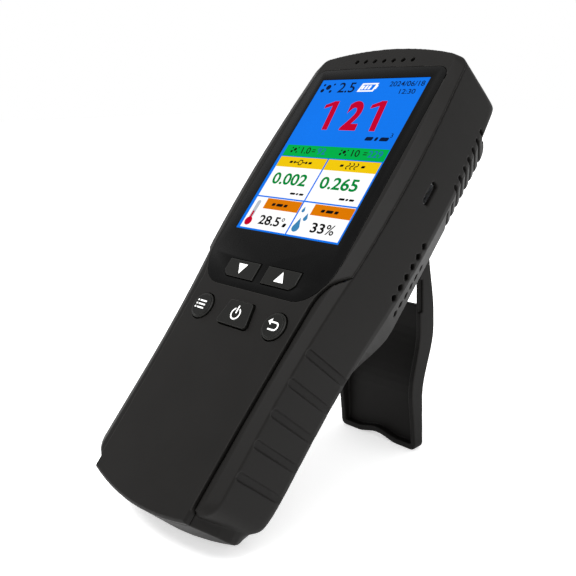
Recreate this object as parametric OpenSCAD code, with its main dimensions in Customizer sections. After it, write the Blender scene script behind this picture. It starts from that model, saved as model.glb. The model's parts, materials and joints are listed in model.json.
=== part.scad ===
// Handheld air quality monitor standing on its open kickstand.
// Every piece is drawn in the case's own axes: x to the right of the screen, y up the long
// axis, z out of the screen, with the middle of the display at the origin. lean() then stands
// the whole case on the floor, so that the row frame has +Z up and the screen faces -Y.

/* [Case] */
// Greatest half width of the head
head_half = 38.8; // [36:0.1:46]
// Half width of the handle between the grip grooves
handle_half = 33.4; // [30:0.1:36]
// Height of the top end above the middle of the display
top_y = 50; // [48:0.1:60]
// Distance of the bottom end below the middle of the display
end_y = 136.7; // [128:0.1:160]
// Depth of the head from the screen face to its raised back
head_depth = 39.6; // [38:0.1:46]
// Depth of the handle from the screen face to its back
handle_depth = 32.4; // [31:0.1:36]
// Thickness of the moulded walls
wall = 2.2; // [1.8:0.1:2.6]
// Width of the slanted band along the front's edges
band_w = 4.5; // [3:0.1:5]
// Depth of the slanted band
band_d = 2.05; // [1.5:0.05:2.5]

/* [Display] */
// Width of the display's active area
screen_w = 52.56; // [48:0.01:56]
// Height of the display's active area
screen_h = 70.08; // [64:0.01:74]
// Thickness of the display lens
lens_t = 1.0; // [0.8:0.1:1.4]

/* [Keys] */
// Radius of the two round keys
round_key_r = 4.9; // [4:0.1:5.5]
// Gap around each key
key_gap = 0.3; // [0.2:0.05:0.5]
// Travel of each key
key_travel = 0.5; // [0.3:0.05:0.6]

/* [Stand] */
// Angle of the open stand from its closed place
stand_open = 43.6; // [30:0.1:50]
// Half width of the stand
stand_half = 20; // [16:0.1:21]
// Length of the stand from its pin to its feet
stand_len = 100; // [90:0.1:104]
// Diameter of the hinge pin
pin_d = 2.5; // [2:0.1:3]
// Radial running clearance of the stand on its pin
pin_clear = 0.06; // [0.02:0.01:0.1]
// Gap between the closed stand and its recess
stand_gap = 0.5; // [0.4:0.05:0.8]

/* [Vents] */
// Distance between the upper vent slots
slot_pitch = 4; // [3.6:0.05:4.2]
// Width of the upper vent slots
slot_w = 1.6; // [1.2:0.05:2]
// Distance between the lower vent holes
hole_pitch = 4.15; // [3.8:0.05:4.4]
// Diameter of the small holes above the lens
top_hole_d = 1.9; // [1.4:0.05:2.2]

/* [Grips] */
// Distance between the grip grooves
groove_pitch = 10.6; // [9:0.1:11.5]
// Width of a grip groove
groove_w = 2.8; // [2:0.1:3.4]
// Depth of a grip groove
groove_d = 0.9; // [0.5:0.05:1.2]
// Gap between the middle strip of the front and the grips
crease_w = 0.6; // [0.4:0.05:0.8]

/* [Hidden] */
eps = 0.01;
fit = 0.1;

// The case's outline, seen from the front
wide_y = -6.5;
side_bow_r = 433;
neck_y = -41;
strait_y = -97;
neck_r = (strait_y - neck_y) * (strait_y - neck_y)
    / (2 * (head_half - pow(neck_y - wide_y, 2) / (2 * side_bow_r) - handle_half));
top_bow_r = 125;
top_corner_r = 6;
end_bow_r = 97;
grip_end_y = end_y - 5.2;
grip_corner_r = 7;

// The case's profile, seen from the side
seam_z = -2.65;
shelf_z = -0.8;
side_z = -26;
top_back_z = -29.9;
pod_end_y = 31.5;
pod_nose = 7;
pod_half = 30.3;
bend_top_y = -45;
bend_low_y = -73;
heel_r = 21;
round_z = -16.5;
end_round_r = handle_depth + round_z;
end_bulge = 0.5;

// Half width of the case at height y
function side_x(y) =
    y >= neck_y ? head_half - pow(y - wide_y, 2) / (2 * side_bow_r)
                : handle_half + pow(max(0, y - strait_y), 2) / (2 * neck_r);
function top_arc(x) = top_y - x * x / (2 * top_bow_r);
function grip_arc(x) = -grip_end_y + x * x / (4 * end_bow_r);
function ease(t) = let (u = min(1, max(0, t))) u * u * (3 - 2 * u);
function arc(cx, cy, r, a, b, n) =
    [for (i = [0:n]) let (t = a + (b - a) * i / n) [cx + r * cos(t), cy + r * sin(t)]];
function mirrored(pts) = [for (i = [len(pts) - 1:-1:0]) [-pts[i][0], pts[i][1]]];

// Outline drawn in by dx at the sides and dy at the ends
function outline(dx, dy) = let (
        tr = top_corner_r - min(dx, dy + 2),
        br = grip_corner_r - min(dx, dy + 2),
        tx = side_x(top_y - 2 * top_corner_r) - dx - tr,
        ty = top_arc(tx + tr / 4) - dy - tr,
        bx = side_x(-grip_end_y + grip_corner_r) - dx - br,
        by = grip_arc(bx) + dy + br,
        half = concat(
            [for (i = [1:5]) let (x = bx * i / 6) [x, grip_arc(x) + dy]],
            arc(bx, by, br, -86, 0, 8),
            [for (i = [1:12]) let (y = by + (neck_y - by) * i / 12) [side_x(y) - dx, y]],
            [for (i = [1:9]) let (y = neck_y + (ty - neck_y) * i / 10) [side_x(y) - dx, y]],
            arc(tx, ty, tr, 6, 76, 8),
            [for (i = [1:6]) let (x = tx * (1 - i / 7)) [x, top_arc(x) - dy]]))
    concat([[0, -grip_end_y + dy]], half, [[0, top_y - dy]], mirrored(half));

// Half width of the middle strip of the front at height y
strip_top_half = 28.1;
strip_end_half = 26.2;
strip_top_y = -60;
strip_edge_y = neck_y - 4;
function strip_x(y) = strip_end_half + (strip_top_half - strip_end_half)
    * pow((y + end_y) / (end_y + strip_top_y), 2);

// Outline of the front cover: the head, then the curved shoulders, then the strip
function shoulder(g) = [for (i = [0:8]) let (t = i / 8, y = strip_top_y + t * (strip_edge_y + 2 - strip_top_y))
    [strip_x(strip_top_y) + g + (side_x(strip_edge_y) + 2 - strip_x(strip_top_y)) * pow(t, 2.6), y]];
function strip_end(x) = -end_y + x * x / (2 * end_bow_r);
function front_half(g) = concat(
    [for (i = [1:6]) let (x = (strip_end_half + g) * i / 6) [x, strip_end(x) - g]],
    [for (i = [1:6]) let (y = strip_end(strip_end_half) + (strip_top_y - strip_end(strip_end_half)) * i / 7)
        [strip_x(y) + g, y]],
    shoulder(g), [[head_half + 4, strip_edge_y + 4], [head_half + 4, top_y + 4]]);
function front_zone(g) = concat([[0, -end_y - g]], front_half(g), [[0, top_y + 4]], mirrored(front_half(g)));

// A solid through rings of points that all have the same count
module skin(rings) {
    n = len(rings[0]);
    m = len(rings);
    polyhedron(
        points = [for (r = rings) each r],
        faces = concat([[for (i = [0:n - 1]) i]],
            [for (k = [0:m - 2]) for (i = [0:n - 1]) let (j = (i + 1) % n)
                [k * n + i, (k + 1) * n + i, (k + 1) * n + j, k * n + j]],
            [[for (i = [n - 1:-1:0]) (m - 1) * n + i]]));
}
function at_z(pts, z) = [for (p = pts) [p[0], p[1], z]];

// Rings of the case's back: half width, depths and the slant at each height
function back_z(y) =
    y > pod_end_y ? top_back_z
    : y > pod_end_y - pod_nose
        ? top_back_z - (head_depth + top_back_z)
            * sqrt(max(0, 1 - pow((y - pod_end_y + pod_nose) / pod_nose, 2)))
    : -head_depth + (head_depth - handle_depth) * ease((bend_top_y - y) / (bend_top_y - bend_low_y));
function back_x(y) =
    y > pod_end_y ? side_x(y) - 3
    : y > pod_end_y - pod_nose
        ? pod_half + (side_x(y) - 3 - pod_half) * pow((y - pod_end_y + pod_nose) / pod_nose, 2)
    : pod_half - (pod_half - 27) * ease((bend_top_y - y) / (bend_top_y - bend_low_y));
function heel_z(y) =
    y < -grip_end_y + heel_r
        ? -handle_depth + heel_r - sqrt(max(0, heel_r * heel_r - pow(y + grip_end_y - heel_r, 2)))
    : y > top_y - 5 ? top_back_z + 5 - sqrt(max(0, 25 - pow(min(5, y - top_y + 5), 2)))
    : -head_depth - 1;
function back_ring(y, d) = let (
        w = side_x(y) - d,
        bz = max(back_z(y) + d, heel_z(y) + d),
        ez = max(side_z + d * 0.5, bz + 1),
        bx = min(back_x(y) - d * 0.7, w - 0.6),
        ux = bx - w,
        uz = bz - ez,
        half = [[w, ez + min(1.5, -ez / 4)], [w + ux * 0.06, ez + uz * 0.04], [w + ux * 0.9, ez + uz * 0.9],
            [w + ux + ux / 14, ez + uz * 0.985], [w + ux - 1.5, bz]])
    concat([[w, y, 1]], [for (p = half) [p[0], y, p[1]]],
        [for (i = [len(half) - 1:-1:0]) [-half[i][0], y, half[i][1]]], [[-w, y, 1]]);
function stations(lo, hi) = concat(
    [for (i = [0:6]) lo + heel_r * (1 - cos(15 * i))],
    [for (i = [1:4]) lo + heel_r + (bend_low_y - lo - heel_r) * i / 5],
    [for (i = [0:8]) bend_low_y + (bend_top_y - bend_low_y) * i / 8],
    [for (i = [1:6]) bend_top_y + (pod_end_y - pod_nose - bend_top_y) * i / 6],
    [for (i = [1:6]) pod_end_y - pod_nose * (1 - sin(15 * i))],
    [pod_end_y + 0.2],
    [for (i = [0:6]) hi - 5 * (1 - sin(15 * i))]);

// The outer body without the strip's end, and the same drawn in by the wall
module body_skin(d) {
    skin([for (y = stations(-grip_end_y, top_y)) back_ring(y, d)]);
}

// The end of the middle strip, which stands proud of the grips and rounds under at the back
function end_push(z) = z > round_z ? -end_bulge * max(0, seam_z - z) / (seam_z - round_z)
    : end_round_r - end_bulge - sqrt(max(0, pow(end_round_r, 2) - pow(z - round_z, 2)));
end_flare = 4.8;
flare_z = -18;
flare_fade = 8.5;
function end_flare_at(z) = end_flare * (z > flare_z ? sin(90 * max(0, seam_z - z) / (seam_z - flare_z))
    : cos(90 * min(1, (flare_z - z) / flare_fade)));
function end_ring(d, z) = let (p = end_push(z) + d, w = strip_end_half - d + end_flare_at(z))
    concat([[-w, -end_y + 40]],
        [for (i = [-6:6]) let (x = w * i / 6) [x, min(strip_end(x) + p, -end_y + 39)]], [[w, -end_y + 40]]);
module strip_block(d, z_hi) {
    lo = -handle_depth + d + 0.4;
    zs = [for (i = [0:8]) lo + (round_z - lo) * (1 - cos(11.25 * i))];
    skin([for (z = concat(zs, [round_z * 0.7, round_z * 0.4, z_hi])) at_z(end_ring(d, z), z)]);
}

// The stand, in its closed place
hinge_y = 5.4;
hinge_z = -32.4;
knuckle_r = 4.2;
foot_y = hinge_y - stand_len;
plate_t = 2.2;
flange_t = 2.2;
window_y = -37.5;
foot_depth = 5;
arm_depth = 8.4;
arm_low_y = window_y - 2.5;
arm_high_y = arm_low_y + 28;
recess_top_y = hinge_y + knuckle_r + stand_gap;
function stand_out(y) = -head_depth
    + (head_depth - handle_depth) * ease((bend_top_y - y) / (bend_top_y - bend_low_y));
function stand_in(y) = stand_out(y) + arm_depth
    - (arm_depth - foot_depth) * ease((bend_top_y - y) / (bend_top_y - foot_y));
function down(lo, hi, n) = [for (i = [0:n]) hi + (lo - hi) * i / n];
stand_ys = concat([hinge_y], down(bend_top_y + 4, arm_high_y, 9), down(foot_y, bend_top_y + 3, 16));
function arm_out(y) = stand_out(y)
    + (head_depth + hinge_z - knuckle_r) * ease((y - arm_low_y) / (arm_high_y - arm_low_y));
function stand_side() = concat([for (y = stand_ys) [y, arm_out(y)]],
    [for (i = [len(stand_ys) - 1:-1:0]) [stand_ys[i], stand_in(stand_ys[i])]]);
function plate_side() = let (ys = down(foot_y, window_y, 18))
    concat([for (y = ys) [y, stand_out(y)]], [for (i = [len(ys) - 1:-1:0]) [ys[i], stand_out(ys[i]) + plate_t]]);
function recess_side(g) = let (ys = concat([-6], down(foot_y - stand_gap, bend_top_y + 4, 16)))
    concat([[recess_top_y + g, -head_depth - 20], [recess_top_y + g, hinge_z + knuckle_r + stand_gap + g],
        [-2, hinge_z + knuckle_r + stand_gap + g]],
        [for (y = ys) [y == foot_y - stand_gap ? y - g : y, stand_in(y) + stand_gap + g]],
        [[foot_y - stand_gap - g, -head_depth - 20]]);

// Sweeps a y-z outline along x
module across(half, pts) {
    rotate([90, 0, 90]) translate([0, 0, -half]) linear_extrude(2 * half) polygon(pts);
}
module rod_x(r, x0, x1) { rotate([0, 90, 0]) translate([0, 0, x0]) cylinder(r = r, h = x1 - x0, $fn = 40); }
module at_hinge() { translate([0, hinge_y, hinge_z]) children(); }

// How the case stands: the floor touches the rounded end and the stand's feet
round_y = -end_y - end_bulge + end_round_r;
function opened(y, z) = [hinge_y + (y - hinge_y) * cos(stand_open) - (z - hinge_z) * sin(stand_open),
    hinge_z + (y - hinge_y) * sin(stand_open) + (z - hinge_z) * cos(stand_open)];
function lean_for(f) = let (dy = f[0] - round_y, dz = f[1] - round_z)
    acos(-end_round_r / norm([dy, dz])) - atan2(-dz, dy);
lean_angle = min(lean_for(opened(foot_y, stand_in(foot_y))), lean_for(opened(foot_y, stand_out(foot_y))));
function along(y, z) = y * sin(lean_angle) - z * cos(lean_angle);
floor_drop = round_y * cos(lean_angle) + round_z * sin(lean_angle) - end_round_r;
front_reach = along(-end_y, shelf_z);
back_reach = max([for (y = stations(-grip_end_y, top_y)) along(y, max(back_z(y), heel_z(y)))]);
module lean() {
    translate([0, -(front_reach + back_reach) / 2, -floor_drop]) rotate([90 - lean_angle, 0, 0]) children();
}

module box(x0, x1, y0, y1, z0, z1) { translate([x0, y0, z0]) cube([x1 - x0, y1 - y0, z1 - z0]); }
module rod(x, y, r, z0, z1) { translate([x, y, z0]) cylinder(r = r, h = z1 - z0, $fn = 40); }
module mirror_x() { children(); mirror([1, 0, 0]) children(); }
module round_rect(w, h, r) {
    square([w - 2 * r, h], center = true);
    square([w, h - 2 * r], center = true);
    for (sx = [-1, 1]) for (sy = [-1, 1]) translate([sx * (w / 2 - r), sy * (h / 2 - r)]) circle(r = r, $fn = 32);
}
module slab(cx, cy, w, h, r, z0, z1) {
    translate([cx, cy, z0]) linear_extrude(z1 - z0) round_rect(w, h, r);
}

// Stack behind the front: lens, plate, display, board
plate_z = -2.4;
boss_z = -12;
board_top = -11;
board_t = 1.6;
board_low = board_top - board_t;
seat_z = -16;
screw_r = 1.2;
boss_r = 2.6;
screw_spots = [[28.2, 40.7], [25.9, -49.5], [19, -121]];
post_spots = [[30.2, 31], [20, -78.5]];
lens_half = 32.2;
lens_top = 39.8;
lens_low = -57.9;
lens_low_half = 19.5;
lens_bend_y = -41;

// Outline of the display lens
function lens_half_pts(g) = let (r = 5)
    concat([for (i = [0:6]) let (t = 90 * i / 6, s = sin(t))
            [lens_low_half + (lens_half - lens_low_half) * s + g, lens_low - g + (lens_bend_y - lens_low) * (1 - cos(t))]],
        arc(lens_half - r + g, lens_top - r + g, r, 0, 80, 6));
function lens_pts(g) = concat([[0, lens_low - g]], lens_half_pts(g), [[0, lens_top + g + 0.5]],
    mirrored(lens_half_pts(g)));

// Keys: cap outlines, grown by g
arrow_x = 10.3;
arrow_y = -51;
arrow_w = 16.2;
arrow_h = 6.8;
round_x = 19;
round_y_key = -67.8;
power_y = -67.3;
power_low_half = 7.6;
power_high_half = 6.1;
power_half_h = 4.6;
power_corner_r = 1.3;
module arrow_shape(g) {
    union() {
        translate([-1, 0]) square([arrow_w - 2 + 2 * g, arrow_h + 2 * g], center = true);
        translate([0, 1]) square([arrow_w + 2 * g, arrow_h - 2 + 2 * g], center = true);
        translate([arrow_w / 2 - 3, -arrow_h / 2 + 3]) circle(r = 3 + g, $fn = 32);
    }
}
module power_shape(g) {
    hull() for (s = [-1, 1]) {
        translate([s * (power_low_half - power_corner_r), power_corner_r - power_half_h])
            circle(r = power_corner_r + g, $fn = 32);
        translate([s * (power_high_half - power_corner_r), power_half_h - power_corner_r])
            circle(r = power_corner_r + g, $fn = 32);
    }
}
flange_z = -2.5;
stem_z = -8.6;
module stem(x, y) { rod(x, y, 1.8, stem_z, flange_z); }
module plunger_switch(x, y) {
    box(x - 3, x + 3, y - 3, y + 3, board_top, board_top + 1.2);
    rod(x, y, 1.6, board_top + 1.1, stem_z - key_travel - 0.15);
}
module arrow_key(s) {
    mirror([s > 0 ? 0 : 1, 0, 0]) translate([arrow_x, arrow_y, 0]) {
        translate([0, 0, flange_z - 0.1]) linear_extrude(0.45 - flange_z + 0.1) arrow_shape(0);
        slab(0, 0, arrow_w + 1.6, arrow_h + 1.6, 1, flange_z - 0.9, flange_z - 0.05);
        stem(0, 0);
    }
}
module round_key(s) {
    translate([s * round_x, round_y_key, 0]) {
        rod(0, 0, round_key_r - 0.6, 0.4, 1);
        rod(0, 0, round_key_r, flange_z - 0.1, 0.5);
        rod(0, 0, round_key_r + 0.8, flange_z - 0.9, flange_z - 0.05);
        stem(0, 0);
    }
}

// The front cover: head plate with slanted sides, and the strip down the handle
module front_solid() {
    intersection() {
        linear_extrude(40, center = true) polygon(front_zone(0));
        skin([at_z(outline(0, 0), seam_z), at_z(outline(0, 0), -band_d), at_z(outline(band_w, 0.8), 0)]);
    }
    intersection() {
        skin([at_z(end_ring(0, 0), seam_z), at_z(end_ring(0, 0), shelf_z), at_z(end_ring(0.8, 0), 0)]);
        linear_extrude(40, center = true) polygon(front_zone(0));
    }
}
module vent_holes(r, z0, z1) { for (i = [-3:3]) rod(4.54 * i, 43.5, r, z0, z1); }
module front_cover() {
    color("#2c2b29") lean() difference() {
        union() {
            front_solid();
            mirror_x() for (p = screw_spots) rod(p[0], p[1], boss_r, boss_z, plate_z + 0.1);
            mirror_x() for (p = post_spots) rod(p[0], p[1], 2.1, board_top + fit, plate_z + 0.1);
        }
        // The inside of the head, under the plate
        difference() {
            translate([0, 0, seam_z - 1]) linear_extrude(plate_z - seam_z + 1) polygon(outline(wall, wall));
            mirror_x() for (p = screw_spots) rod(p[0], p[1], boss_r, boss_z - 1, 0);
            mirror_x() for (p = post_spots) rod(p[0], p[1], 2.1, boss_z - 1, 0);
        }
        translate([0, 0, -lens_t - 0.05]) linear_extrude(9) polygon(lens_pts(0.08));
        box(-screen_w / 2 - 0.6, screen_w / 2 + 0.6, -screen_h / 2 - 0.6, screen_h / 2 + 0.6, -9, 1);
        for (s = [-1, 1]) mirror([s > 0 ? 0 : 1, 0, 0]) translate([arrow_x, arrow_y, -9])
            linear_extrude(18) arrow_shape(key_gap);
        mirror_x() rod(round_x, round_y_key, round_key_r + key_gap, -9, 9);
        translate([0, power_y, -9]) linear_extrude(18) power_shape(key_gap);
        vent_holes(top_hole_d / 2, -9, 9);
        mirror_x() for (p = screw_spots) rod(p[0], p[1], screw_r + fit, boss_z - 1, -3.6);
        mirror_x() for (p = post_spots) rod(p[0], p[1], 0.9 + fit, boss_z - 1, -5);
    }
}

// Grooves in the grips, from a round end near the band round to the back
groove_top_y = -71.4;
module grooves() {
    mirror_x() for (i = [0:4]) {
        y = groove_top_y - i * groove_pitch;
        x = side_x(y);
        translate([x - groove_d, y, -4.4]) rotate([0, 90, 0]) cylinder(d = groove_w, h = 9, $fn = 32);
        box(x - groove_d, x + 9, y - groove_w / 2, y + groove_w / 2, -40, -4.4);
    }
}
// Upper slots run over the side's rear edge and across the slanted back
upper_slot_y = 30.8;
lower_hole_y = -18.1;
inner_hole_y = -22.3;
inner_pitch = hole_pitch * 0.9;
outer_hole_w = 2.1;
inner_hole_w = 2;
module vents() {
    mirror_x() {
        for (i = [0:6]) let (y = upper_slot_y - i * slot_pitch) {
            translate([33, y, -24]) rotate([0, 90, 0]) cylinder(d = slot_w, h = 9, $fn = 24);
            box(33, 45, y - slot_w / 2, y + slot_w / 2, -30, -24);
        }
        for (i = [1:8]) let (y = upper_slot_y - i * slot_pitch)
            box(27.5, 45, y - slot_w / 2, y + slot_w / 2, -45, -28);
        for (i = [0:5]) let (y = lower_hole_y - i * hole_pitch) {
            translate([30, y, -25.4]) rotate([45, 0, 0]) cube([15, outer_hole_w, outer_hole_w]);
            translate([26, inner_hole_y - i * inner_pitch, -33.5]) rotate([45, 0, 0])
                cube([15, inner_hole_w, inner_hole_w]);
        }
    }
}
usb_y = -3.3;
usb_z = board_low - 1.5;
usb_w = 8.6;
usb_h = 3.2;

module rear_solid() {
    intersection() {
        body_skin(0);
        translate([0, 0, -60]) linear_extrude(60 + seam_z) polygon(outline(0, 0));
    }
    // The grips' shelf and slanted band, up to the crease
    difference() {
        skin([at_z(outline(0, 0), seam_z - eps), at_z(outline(band_w * 0.88, 1.2), shelf_z)]);
        translate([0, 0, -20]) linear_extrude(40) polygon(front_zone(crease_w));
    }
    strip_block(0, seam_z);
}
module cavity() {
    difference() {
        union() {
            intersection() {
                body_skin(wall);
                translate([0, 0, -60]) linear_extrude(70) polygon(outline(wall, wall));
            }
            strip_block(wall, 5);
        }
        // The grips keep their wall under the shelf
        difference() {
            skin([at_z(outline(-1, -1), shelf_z - wall), at_z(outline(-1, -1), 6)]);
            translate([0, 0, -20]) linear_extrude(40) polygon(front_zone(crease_w - wall));
        }
        across(stand_half + stand_gap + wall, recess_side(wall));
        mirror_x() at_hinge() rod_x(4, stand_half, 26);
        mirror_x() for (p = screw_spots) rod(p[0], p[1], 4.6, -50, boss_z - fit);
    }
}
module rear_cover() {
    color("#2b2a28") lean() difference() {
        rear_solid();
        cavity();
        across(stand_half + stand_gap, recess_side(0));
        mirror_x() at_hinge() rod_x(pin_d / 2 + fit / 2, stand_half, 30);
        grooves();
        vents();
        usb_opening();
        mirror_x() for (p = screw_spots) {
            rod(p[0], p[1], screw_r + 2 * fit, -50, boss_z + 2);
            rod(p[0], p[1], 3, -50, seat_z);
        }
    }
}
module usb_opening() {
    translate([30, usb_y, usb_z]) rotate([0, 90, 0]) linear_extrude(20) round_rect(usb_h, usb_w, 1);
}

module display_lens() {
    color("#141515") lean() difference() {
        translate([0, 0, -lens_t]) linear_extrude(lens_t) polygon(lens_pts(0));
        box(-screen_w / 2, screen_w / 2, -screen_h / 2, screen_h / 2, -9, 9);
        for (s = [-1, 1]) mirror([s > 0 ? 0 : 1, 0, 0]) translate([arrow_x, arrow_y, -9])
            linear_extrude(18) arrow_shape(key_gap);
    }
}
panel_half = 27.6;
panel_low = -41.5;
panel_top = 37.4;
module lens_gasket() {
    color("#1c1c1c") lean() difference() {
        box(-panel_half, panel_half, panel_low, panel_top, plate_z - 0.5, plate_z - fit);
        box(-screen_w / 2 - 0.6, screen_w / 2 + 0.6, -screen_h / 2 - 0.6, screen_h / 2 + 0.6, -9, 1);
    }
}
module lcd_panel() {
    color("#1278f0") lean() {
        box(-panel_half, panel_half, panel_low, panel_top, -4.6, plate_z - 0.55);
        box(-screen_w / 2 + fit, screen_w / 2 - fit, -screen_h / 2 + fit, screen_h / 2 - fit, -4, -0.15);
    }
}
module lcd_frame() {
    color("#b8babd") lean() difference() {
        box(-panel_half, panel_half, panel_low, panel_top, -6.4, -4.65);
        slab(0, -2, panel_half * 1.7, 60, 3, -5.4, -4);
    }
}
module lcd_ribbon() {
    color("#b5651d") lean() {
        box(-9, 9, panel_low - 1.6, panel_low - 0.1, -4.4, -4.1);
        box(-9, 9, panel_low - 1.6, panel_low - 1.3, -10.4, -4.1);
        box(-10, 10, panel_low - 3.2, panel_low - 1.3, board_top + 0.02, -10.1);
    }
}
module key_down() { color("#262625") lean() arrow_key(-1); }
module key_up() { color("#262625") lean() arrow_key(1); }
module key_set() { color("#2a2927") lean() round_key(-1); }
module key_esc() { color("#2a2927") lean() round_key(1); }
module key_power() {
    color("#2a2927") lean() translate([0, power_y, 0]) {
        translate([0, 0, flange_z - 0.1]) linear_extrude(1 - flange_z + 0.1) power_shape(0);
        translate([0, 0, flange_z - 0.9]) linear_extrude(0.85) power_shape(0.8);
        stem(0, 0);
    }
}
module tact_switches() {
    color("#3a3a3a") lean() {
        for (s = [-1, 1]) plunger_switch(s * arrow_x, arrow_y);
        for (s = [-1, 1]) plunger_switch(s * round_x, round_y_key);
        plunger_switch(0, power_y);
    }
}
board_half = 33;
module main_board() {
    color("#1f5c3a") lean() difference() {
        union() {
            box(-board_half, board_half, -45.5, 36, board_low, board_top);
            box(-22.7, 22.7, -82, -44, board_low, board_top);
        }
        mirror_x() for (p = post_spots) rod(p[0], p[1], 0.9 + fit, -20, 0);
        mirror_x() rod(screw_spots[1][0], screw_spots[1][1], 5.2, -20, 0);
    }
}
module board_screws() {
    color("#8a8d90") lean() mirror_x() for (p = post_spots) {
        rod(p[0], p[1], 0.9, board_low - 0.5, -5.5);
        rod(p[0], p[1], 1.8, board_low - 1.3, board_low - 0.02);
    }
}
module usb_socket() {
    color("#c9cbce") lean() difference() {
        translate([31, usb_y, usb_z]) rotate([0, 90, 0]) linear_extrude(6.4) round_rect(2.8, 7.6, 0.8);
        translate([32, usb_y, usb_z]) rotate([0, 90, 0]) linear_extrude(9) round_rect(2.2, 7, 0.6);
    }
}
cell_top_y = -60;
cell_low_y = -112;
cell_half = 18;
tray_t = 1.2;
cell_z0 = max([for (y = down(cell_low_y, cell_top_y, 24)) stand_in(y)]) + stand_gap + wall + tray_t + 0.4;
cell_z1 = board_low - 0.6;
module battery_cell() {
    color("#9aa0a6") lean() intersection() {
        slab(0, (cell_top_y + cell_low_y) / 2, 2 * cell_half, cell_top_y - cell_low_y, 2, cell_z0, cell_z1);
        across(cell_half, [[cell_low_y, cell_z0], [cell_top_y, cell_z0], [cell_top_y, cell_z1], [cell_low_y, cell_z1]]);
    }
}
module battery_tray() {
    color("#3b3b3b") lean() difference() {
        box(-cell_half - 1.5, cell_half + 1.5, cell_low_y - 1.5, cell_top_y + 1.5, cell_z0 - tray_t, cell_z0 + 4);
        box(-cell_half - 0.2, cell_half + 0.2, cell_low_y - 0.2, cell_top_y + 0.2, cell_z0 - fit, cell_z0 + 9);
    }
}
module battery_lead() {
    color("#b02020") lean() {
        for (x = [-3, -0.6]) translate([x, cell_top_y + 0.2, cell_z1 - 3]) rotate([-90, 0, 0])
            cylinder(r = 0.8, h = 8, $fn = 24);
        box(-5.5, 2, cell_top_y + 6, cell_top_y + 11, cell_z1 - 5, board_low - 0.02);
    }
}
pm_x = -6;
pm_y = 14;
pm_w = 38;
pm_h = 34;
pm_top = board_low - 0.6;
pm_low = -24.6;
module sensor_case() {
    color("#2d3d55") lean() difference() {
        box(pm_x - pm_w / 2, pm_x + pm_w / 2, pm_y - pm_h / 2, pm_y + pm_h / 2, pm_low + 1.1, pm_top);
        box(pm_x - pm_w / 2 + 1, pm_x + pm_w / 2 - 1, pm_y - pm_h / 2 + 1, pm_y + pm_h / 2 - 1, -40, pm_top - 1.2);
        box(pm_x - 40, pm_x, pm_y - 6, pm_y + 6, pm_low + 3, pm_top - 3);
    }
}
module sensor_lid() {
    color("#c0c3c6") lean() difference() {
        box(pm_x - pm_w / 2, pm_x + pm_w / 2, pm_y - pm_h / 2, pm_y + pm_h / 2, pm_low, pm_low + 1);
        rod(pm_x, pm_y, 8, -40, 0);
    }
}
fan_r = 12;
module fan_motor() {
    color("#202020") lean() {
        rod(pm_x, pm_y, 3.6, pm_top - 2.6, pm_top - 1.25);
        rod(pm_x, pm_y, 1, pm_low + 3.2, pm_top - 2.5);
    }
}
module sensor_fan() {
    color("#101010") lean() difference() {
        union() {
            rod(pm_x, pm_y, 4.2, pm_low + 2.4, pm_top - 3);
            for (i = [0:6]) translate([pm_x, pm_y, pm_low + 2.6]) rotate([0, 0, i * 360 / 7]) translate([3.6, 0, 0])
                rotate([0, 0, 18]) cube([fan_r - 4.4, 0.9, 5]);
        }
        rod(pm_x, pm_y, 1.06, -40, 0);
    }
}
module sensor_lead() {
    color("#d8d8d8") lean() box(pm_x - 8, pm_x + 8, pm_y - pm_h / 2 - 5, pm_y - pm_h / 2 - 0.2, board_low - 4, board_low - 0.02);
}
module formaldehyde_sensor() {
    color("#d9dadb") lean() {
        rod(23.5, 21, 8, board_low - 9, board_low - 0.02);
        rod(23.5, 21, 5, board_low - 10, board_low - 8.9);
    }
}
module voc_sensor() {
    color("#c7c9cb") lean() rod(22, 4.5, 4.5, board_low - 5, board_low - 0.02);
}
module humidity_sensor() {
    color("#ececec") lean() box(-31, -26, -25, -17, board_low - 4, board_low - 0.02);
}
module buzzer() {
    color("#1b1b1b") lean() difference() {
        rod(-26, -36, 4.5, board_low - 5, board_low - 0.02);
        rod(-26, -36, 0.8, board_low - 6, board_low - 4);
    }
}
// Dust screens behind the side vents
module dust_screen() {
    color("#3c3c3a") lean() box(32.6, 33.2, -41, 31.5, -25.5, -18);
}
module left_dust_screen() { mirror([1, 0, 0]) dust_screen(); }
module right_dust_screen() { dust_screen(); }
module case_screws() {
    color("#77797c") lean() mirror_x() for (p = screw_spots) {
        rod(p[0], p[1], screw_r, seat_z - 0.1, -4);
        difference() {
            rod(p[0], p[1], 2.6, seat_z - 2, seat_z - 0.05);
            box(p[0] - 1.8, p[0] + 1.8, p[1] - 0.3, p[1] + 0.3, seat_z - 3, seat_z - 1);
            box(p[0] - 0.3, p[0] + 0.3, p[1] - 1.8, p[1] + 1.8, seat_z - 3, seat_z - 1);
        }
    }
}

// The stand: an S-shaped plate with a flange down each side and two arms up to the pin
foot_arc_half = 11;
foot_arc_rise = 2;
foot_corner_r = 2.5;
foot_rim = 2.4;

// Everything below the feet's edge raised by d: an arc between two flat feet with round corners
function foot_half_pts(d) = concat(
    [for (i = [1:10]) let (x = foot_arc_half * i / 10)
        [x, foot_y + d + foot_arc_rise * (1 + cos(180 * i / 10)) / 2]],
    arc(stand_half - foot_corner_r, foot_y + foot_corner_r + d, foot_corner_r, -90, 0, 6),
    [[stand_half + 5, foot_y + foot_corner_r + d], [stand_half + 5, foot_y - 9]]);
function under_feet(d) = concat([[0, foot_y + d + foot_arc_rise]], foot_half_pts(d), mirrored(foot_half_pts(d)));

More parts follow.
